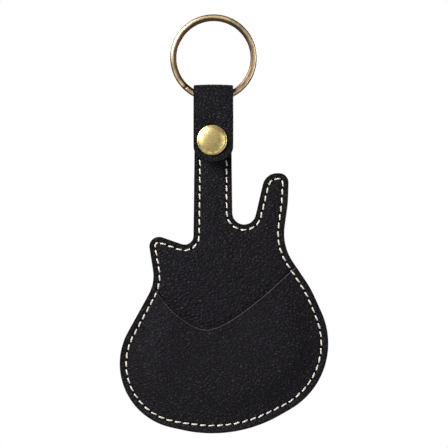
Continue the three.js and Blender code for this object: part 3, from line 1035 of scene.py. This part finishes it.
# %% Socket
SOCKET_FRONT = high("snap_socket", "y")
snap_socket = turned(
    "snap_socket_cup",
    [
        (4.4, FLAP_BACK - 0.05),
        (4.42, SOCKET_FRONT - 0.75),
        (4.35, SOCKET_FRONT - 0.35),
        (4.1, SOCKET_FRONT - 0.08),
        (3.8, SOCKET_FRONT),
        (2.8, SOCKET_FRONT),
        (2.62, SOCKET_FRONT - 0.06),
        (2.6, SOCKET_FRONT - 0.2),
        (2.6, SOCKET_FRONT - 0.5),
        (3.4, SOCKET_FRONT - 0.55),
        (3.4, FLAP_BACK + 0.4),
        (1.8, FLAP_BACK + 0.4),
        (1.8, FLAP_BACK - 0.05),
        (4.4, FLAP_BACK - 0.05),
    ],
    "snap_socket",
    "flap",
)

# %% [markdown]
# The stud stands on the neck, with a wide foot on the leather, a waist and a head that is a
# little wider than the waist. The springs close in that waist. Its post is a rivet from behind.

# %% Stud and post
STUD_TOP = low("snap_stud", "y")
snap_stud = turned(
    "snap_stud_button",
    [
        (1.4, FRONT_Y + 0.25),
        (3.66, FRONT_Y + 0.2),
        (3.7, FRONT_Y - 0.15),
        (3.6, FRONT_Y - 0.35),
        (3.3, FRONT_Y - 0.42),
        (2.2, FRONT_Y - 0.44),
        (1.7, FRONT_Y - 0.55),
        (1.5, FRONT_Y - 0.9),
        (1.45, STUD_TOP + 0.5),
        (1.6, STUD_TOP + 0.4),
        (1.82, STUD_TOP + 0.28),
        (1.86, STUD_TOP + 0.16),
        (1.7, STUD_TOP + 0.04),
        (1.3, STUD_TOP),
        (0.75, STUD_TOP + 0.02),
        (0.6, STUD_TOP + 0.15),
        (0, STUD_TOP + 0.2),
    ],
    "snap_stud",
    "pouch",
)
POST_OUT = high("snap_post", "y")
snap_post = turned(
    "snap_post_head",
    [
        (1.3, FRONT_Y + 0.3),
        (1.45, BACK_Y - 0.1),
        (3.4, BACK_Y - 0.12),
        (3.58, BACK_Y),
        (3.6, BACK_Y + 0.2),
        (3.45, BACK_Y + 0.42),
        (3.1, BACK_Y + 0.58),
        (2.4, BACK_Y + 0.7),
        (1.3, POST_OUT - 0.03),
        (0, POST_OUT),
    ],
    "snap_post",
    "pouch",
)

# %% [markdown]
# The springs are two short straight wires, one on each side of the stud's waist. They are the
# smallest pieces, and a cylinder with bevelled ends is enough for them.

# %% Springs
def spring(side_name, node):
    """One of the two straight spring wires in the socket that close round the stud's neck."""
    x = (low(node, "x") + high(node, "x")) / 2
    reach = (high(node, "z") - low(node, "z")) / 2
    y = (low(node, "y") + high(node, "y")) / 2
    clear_selection()
    bpy.ops.mesh.primitive_cylinder_add(
        vertices=14, radius=0.2 * MM, depth=2 * reach * MM, location=(x * MM, y * MM, SNAP_Z * MM)
    )
    part = bpy.context.object
    part.name = side_name
    bpy.ops.object.transform_apply(location=True, rotation=True, scale=True)
    bpy.ops.object.mode_set(mode="EDIT")
    bevel_ends(0.08, 3)
    bpy.ops.object.mode_set(mode="OBJECT")
    bpy.ops.object.shade_smooth_by_angle(angle=math.radians(40))
    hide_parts(node)
    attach(part, "flap")
    return part


spring_left = spring("spring_wire_left", "snap_spring_left")
spring_right = spring("spring_wire_right", "snap_spring_right")
print("springs", round(spring_left.dimensions.z / MM, 2), "mm long")

# %% [markdown]
# Every finish is worked out from the piece's own shape: flat-pattern coordinates for the leather,
# so that its grain runs on unbroken round the fold, and object coordinates for the metal. The
# nodes are joined in code, and these helpers keep that short.

# %% Steps for a finish
def add(tree, kind, inputs=None, **settings):
    """A shader node. An input that is a socket is joined on, and anything else is set."""
    made = tree.nodes.new("ShaderNode" + kind)
    for name, value in settings.items():
        setattr(made, name, value)
    for name, value in (inputs or {}).items():
        if isinstance(value, bpy.types.NodeSocket):
            tree.links.new(value, made.inputs[name])
        else:
            made.inputs[name].default_value = value
    return made


def fade(tree, value, start, end, low_value=0.0, high_value=1.0):
    """A smooth change of a value from one number to another."""
    inputs = {
        "Value": value,
        "From Min": start,
        "From Max": end,
        "To Min": low_value,
        "To Max": high_value,
    }
    return add(tree, "MapRange", inputs, interpolation_type="SMOOTHSTEP").outputs["Result"]


def blend_colours(tree, share, first, second, kind="MIX"):
    """A mix of two colours, or of a colour and a socket."""
    return add(tree, "Mix", {0: share, 6: first, 7: second}, data_type="RGBA", blend_type=kind).outputs[2]


def sum_of(tree, first, second, operation="ADD"):
    """Two values put together by one step of arithmetic."""
    return add(tree, "Math", {0: first, 1: second}, operation=operation).outputs[0]


def kept(tree, name, output="Fac"):
    """What a mesh keeps on its points under a name."""
    return add(tree, "Attribute", attribute_name=name).outputs[output]


def noise(tree, place, scale, detail, output="Fac"):
    """An uneven cloud of values."""
    inputs = {"Vector": place, "Scale": scale, "Detail": detail}
    return add(tree, "TexNoise", inputs).outputs[output]


def new_finish(name):
    """A new material, with its nodes, its shader's inputs and the call that joins two sockets."""
    finish = bpy.data.materials.new(name)
    finish.use_nodes = True
    tree = finish.node_tree
    return finish, tree, tree.nodes["Principled BSDF"].inputs, tree.links.new


print("finish steps ready")

# %% [markdown]
# Pebbled leather is pressed with a pattern of small cushions with creases between them. A Voronoi
# texture's distance to its cell edges gives both, and a noise pulls the cells out of shape. The
# suede side and the painted edge have a finer, softer surface of their own.

# %% Leather relief
GRAIN_CELL = 1.1  # millimetres across one pebble
GRAIN_STRETCH = (0.78, 1.12, 1.0)
GRAIN_PULL = (0.9, 0.9, 0.9)
GRAIN_DEPTH = 0.36
leather, leather_tree, leather_shader, leather_link = new_finish("black_leather")


def grain_of(tree, flat):
    """The pebbles, from 0 in a crease to 1 on top."""
    drift = noise(tree, flat, 0.9, 2.0, "Color")
    pulled = add(tree, "VectorMath", {0: drift, 1: GRAIN_PULL}, operation="MULTIPLY").outputs[0]
    drawn = add(tree, "VectorMath", {0: flat, 1: GRAIN_STRETCH}, operation="MULTIPLY").outputs[0]
    place = add(tree, "VectorMath", {0: drawn, 1: pulled}, operation="ADD").outputs[0]
    cells = {"Vector": place, "Scale": 1 / GRAIN_CELL}
    crease = add(tree, "TexVoronoi", cells, feature="DISTANCE_TO_EDGE").outputs["Distance"]
    return fade(tree, crease, 0.0, 0.36)


flat_place = kept(leather_tree, "flat", "Vector")
edge_depth = kept(leather_tree, "edge")
pebble = grain_of(leather_tree, flat_place)
small = noise(leather_tree, flat_place, 5.0, 3.0)
fuzz = noise(leather_tree, flat_place, 9.0, 5.0)
on_grain = fade(leather_tree, kept(leather_tree, "grain_side"), 0.75, 0.98)
grain_share = sum_of(leather_tree, on_grain, fade(leather_tree, edge_depth, 0.12, 0.42), "MULTIPLY")
height = sum_of(leather_tree, pebble, sum_of(leather_tree, small, 0.05, "MULTIPLY"))
surface = add(leather_tree, "Mix", {0: grain_share, 2: fuzz, 3: height}).outputs[0]
bump = add(leather_tree, "Bump", {"Height": surface, "Strength": 1.0, "Distance": GRAIN_DEPTH * MM})
leather_link(bump.outputs[0], leather_shader["Normal"])
print("pebbles", GRAIN_CELL, "mm across")

# %% [markdown]
# Black leather is not one black. Painted shade darkens the creases between the pebbles, the seam's groove
# and the top of the fold. The margin outside the seam is darker, with a painted highlight towards the
# bottom of the pouch.

# %% Leather colour
def leather_face(tree, flat, edge, tops):
    """The colour of the grain side."""
    broad = fade(tree, noise(tree, flat, 0.11, 2.0), 0.35, 0.65)
    face = blend_colours(tree, broad, (0.0062, 0.0045, 0.0082, 1), (0.0088, 0.0067, 0.011, 1))
    patch = fade(tree, noise(tree, flat, 1.1, 2.0), 0.44, 0.62, 0.0, 0.45)
    face = blend_colours(tree, patch, face, (0.0185, 0.0146, 0.0212, 1))
    # Painted shade: the creases between the pebbles are darker in the colour.
    crease = fade(tree, tops, 0.75, 0.08, 0.0, 0.96)
    face = blend_colours(tree, crease, face, (0.004, 0.0038, 0.0045, 1))
    across = kept(tree, "seam")
    # The margin outside the seam is darker, with a painted highlight towards the bottom of the pouch.
    bottom_highlight_share = fade(tree, add(tree, "SeparateXYZ", {0: flat}).outputs["Y"], -122, -134)
    margin_dark_and_bottom_highlight = blend_colours(tree, bottom_highlight_share, (0.0026, 0.0021, 0.003, 1), (0.019, 0.0155, 0.0215, 1))
    margin = sum_of(tree, fade(tree, across, -0.4, -0.8, 0.0, 0.75), tops, "MULTIPLY")
    face = blend_colours(tree, margin, face, margin_dark_and_bottom_highlight)
    # Painted shadow: the seam's groove is darker in the colour.
    groove = fade(tree, sum_of(tree, across, 0.0, "ABSOLUTE"), 0.62, 0.3, 0.0, 0.85)
    face = blend_colours(tree, groove, face, (0.0012, 0.001, 0.0013, 1))
    near_edge = fade(tree, edge, 0.95, 0.4, 0.0, 0.75)
    face = blend_colours(tree, near_edge, face, (0.002, 0.0018, 0.0022, 1))
    # Painted shade: the top of the fold is darker in the colour.
    fold_top_shade_share = sum_of(tree, kept(tree, "fold_top_shade"), 0.75, "MULTIPLY")
    return blend_colours(tree, fold_top_shade_share, face, (0.0035, 0.003, 0.004, 1))


SUEDE = (0.016, 0.014, 0.015, 1)
EDGE_PAINT = (0.003, 0.0027, 0.0033, 1)
# The pocket's lip is lighter: a painted highlight where its rim catches the light. The rest of the cut
# edge keeps its dark edge paint.
LIP_HIGHLIGHT = (0.06, 0.052, 0.056, 1)
on_edge = fade(leather_tree, edge_depth, 0.34, 0.12)
face = leather_face(leather_tree, flat_place, edge_depth, pebble)
face = blend_colours(leather_tree, on_grain, SUEDE, face)
edge_paint_and_lip_highlight = blend_colours(leather_tree, kept(leather_tree, "lip"), EDGE_PAINT, LIP_HIGHLIGHT)
leather_link(blend_colours(leather_tree, on_edge, face, edge_paint_and_lip_highlight), leather_shader["Base Color"])
rough = fade(leather_tree, small, 0.3, 0.7, 0.44, 0.56)
rough = add(leather_tree, "Mix", {0: on_grain, 2: 0.92, 3: rough}).outputs[0]
rough = add(leather_tree, "Mix", {0: on_edge, 2: rough, 3: 0.42}).outputs[0]
leather_link(rough, leather_shader["Roughness"])
leather_shader["Specular IOR Level"].default_value = 0.09
print(leather.name, len(leather_tree.nodes), "nodes")

# %% [markdown]
# Thread is three plies twisted together. Slanted bands across each stitch, in the stitch's own
# coordinates, give the twist, and a finer noise gives the fibres. The bands' darker parts are painted
# shade in the grooves between the plies.

# %% Thread
def thread_finish():
    """Cream bonded thread, three plies twisted together."""
    finish, tree, shader, link = new_finish("cream_thread")
    ply = kept(tree, "ply", "Vector")
    tilt = add(tree, "Mapping", {"Vector": ply, "Rotation": (0.0, 0.0, 0.75)}).outputs[0]
    twist = add(
        tree,
        "TexWave",
        {"Vector": tilt, "Scale": 0.72, "Distortion": 0.6, "Detail": 1.0, "Detail Scale": 2.0},
        bands_direction="X",
    ).outputs["Fac"]
    fibre = noise(tree, ply, 6.0, 4.0)
    # The dark bands are painted shade in the grooves between the plies.
    in_twist = fade(tree, twist, 0.0, 0.55)
    shade = blend_colours(tree, in_twist, (0.33, 0.295, 0.24, 1), (0.68, 0.64, 0.565, 1))
    on_fibre = fade(tree, fibre, 0.35, 0.7, 0.0, 0.3)
    shade = blend_colours(tree, on_fibre, shade, (0.46, 0.42, 0.35, 1))
    link(shade, shader["Base Color"])
    relief = sum_of(tree, twist, sum_of(tree, fibre, 0.4, "MULTIPLY"))
    bump = add(tree, "Bump", {"Height": relief, "Strength": 0.8, "Distance": 0.06 * MM})
    link(bump.outputs[0], shader["Normal"])
    shader["Roughness"].default_value = 0.7
    shader["Specular IOR Level"].default_value = 0.25
    shader["Sheen Weight"].default_value = 0.15
    return finish


cream = thread_finish()
print(cream.name)

# %% [markdown]
# Antique brass is bright metal under an uneven darker film, with a few specks where the plating
# has worn. The snap's hidden parts and its springs are plated in the same way in other colours.

# %% Brass and steel
def brass_finish(name, bright, dull, gloss, mottle, speck, pits=0.35):
    """Antique-plated brass: bright metal under an uneven darker film, with fine wear marks."""
    finish, tree, shader, link = new_finish(name)
    place = add(tree, "TexCoord").outputs["Object"]
    drift = {"Vector": place, "Scale": mottle, "Detail": 4.0, "Roughness": 0.62}
    cloud = add(tree, "TexNoise", drift).outputs["Fac"]
    dots = noise(tree, place, mottle * 3, 3.0)
    film = fade(tree, cloud, 0.4, 0.66)
    tone = blend_colours(tree, film, bright, dull)
    specks = fade(tree, dots, 0.58, 0.72, 0.0, speck)
    link(blend_colours(tree, specks, tone, (0.1, 0.065, 0.03, 1)), shader["Base Color"])
    shader["Metallic"].default_value = 1.0
    link(fade(tree, cloud, 0.35, 0.7, gloss, gloss + 0.16), shader["Roughness"])
    bump = add(tree, "Bump", {"Height": dots, "Strength": pits, "Distance": 0.02 * MM})
    link(bump.outputs[0], shader["Normal"])
    return finish, tree, shader, link


SNAP_BRIGHT = (0.55, 0.42, 0.2, 1)
SNAP_DULL = (0.36, 0.25, 0.11, 1)
STEEL_BRIGHT = (0.5, 0.5, 0.49, 1)
STEEL_DULL = (0.36, 0.36, 0.35, 1)
snap_brass = brass_finish("snap_brass", SNAP_BRIGHT, SNAP_DULL, 0.3, 500, 0.4)[0]
steel = brass_finish("spring_steel", STEEL_BRIGHT, STEEL_DULL, 0.3, 900, 0.2)[0]
print(snap_brass.name, steel.name)

# %% [markdown]
# The ring is warmer and plainer. Painted shade darkens it along the inside and the outside of the wire,
# and a painted shadow darkens it at the cut. Those places come from what the ring's mesh keeps on its
# points.

# %% Ring finish
ring_brass, ring_tree, ring_shader, ring_link = brass_finish(
    "ring_brass", (0.74, 0.56, 0.34, 1), (0.64, 0.47, 0.27, 1), 0.37, 300, 0.0, 0.0
)
out_from_middle = kept(ring_tree, "from_centre")
polished = ring_shader["Base Color"].links[0].from_socket  # the plating as it was
# Painted shade along the inside and the outside of the wire, where its rounded edges turn from the light.
inner_edge_shade = fade(ring_tree, out_from_middle, 0.12, -0.4, 0.0, 0.95)
ring_with_painted_shade = blend_colours(ring_tree, inner_edge_shade, polished, (0.05, 0.028, 0.014, 1))
outer_edge_shade = fade(ring_tree, out_from_middle, 0.5, 0.74, 0.0, 0.93)
ring_with_painted_shade = blend_colours(ring_tree, outer_edge_shade, ring_with_painted_shade, (0.08, 0.065, 0.035, 1))
# Painted shadow at the cut, where the back coil lies beside the front coil's end.
ring_with_painted_shade = blend_colours(ring_tree, kept(ring_tree, "near_cut"), ring_with_painted_shade, (0.012, 0.009, 0.007, 1))
ring_link(ring_with_painted_shade, ring_shader["Base Color"])
print(ring_brass.name)

# %% [markdown]
# The cap is yellower and mottled all over, and its colour is darker round the outside of its rolled rim.

# %% Cap finish
cap_gold, cap_tree, cap_shader, cap_link = brass_finish(
    "cap_gold", (0.8, 0.63, 0.28, 1), (0.46, 0.35, 0.12, 1), 0.38, 1000, 0.95
)
gilded = cap_shader["Base Color"].links[0].from_socket
rim_darkening = fade(cap_tree, kept(cap_tree, "from_axis"), 0.955, 0.99, 0.0, 0.9)
gilded_with_darker_rim = blend_colours(cap_tree, rim_darkening, gilded, (0.06, 0.035, 0.016, 1))
cap_link(gilded_with_darker_rim, cap_shader["Base Color"])
print(cap_gold.name)

# %% [markdown]
# Each piece gets its finish: one leather for all three sheets, as they are cut from one hide, and
# one thread for both rows.

# %% Finishes on the pieces
for piece in (back_leather, front_leather, pocket_leather):
    piece.data.materials.append(leather)
for piece in (needle_stitches, bobbin_stitches):
    piece.data.materials.append(cream)
for piece in (snap_socket, snap_stud, snap_post):
    piece.data.materials.append(snap_brass)
for piece in (spring_left, spring_right):
    piece.data.materials.append(steel)
split_ring.data.materials.append(ring_brass)
snap_cap.data.materials.append(cap_gold)
print(len(bpy.data.materials), "materials in the file")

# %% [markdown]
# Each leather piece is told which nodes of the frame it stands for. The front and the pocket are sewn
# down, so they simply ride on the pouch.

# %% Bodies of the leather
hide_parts("front_panel")
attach(front_leather, "pouch")
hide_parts("pocket_panel")
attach(pocket_leather, "pouch")
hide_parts("back_panel", "strap_fold", "strap_flap")
print("leather bodies set")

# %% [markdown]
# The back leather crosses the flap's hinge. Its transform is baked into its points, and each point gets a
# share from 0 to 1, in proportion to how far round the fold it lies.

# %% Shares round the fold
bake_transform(back_leather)
shares = np.clip((back_points[:, 1] - FOLD_Z) / FOLD_LENGTH, 0, 1)
shares = np.concatenate([shares, shares, shares[: back_pattern[2]]]).astype(np.float32)
print("points that bend", int(((shares > 0) & (shares < 1)).sum()))
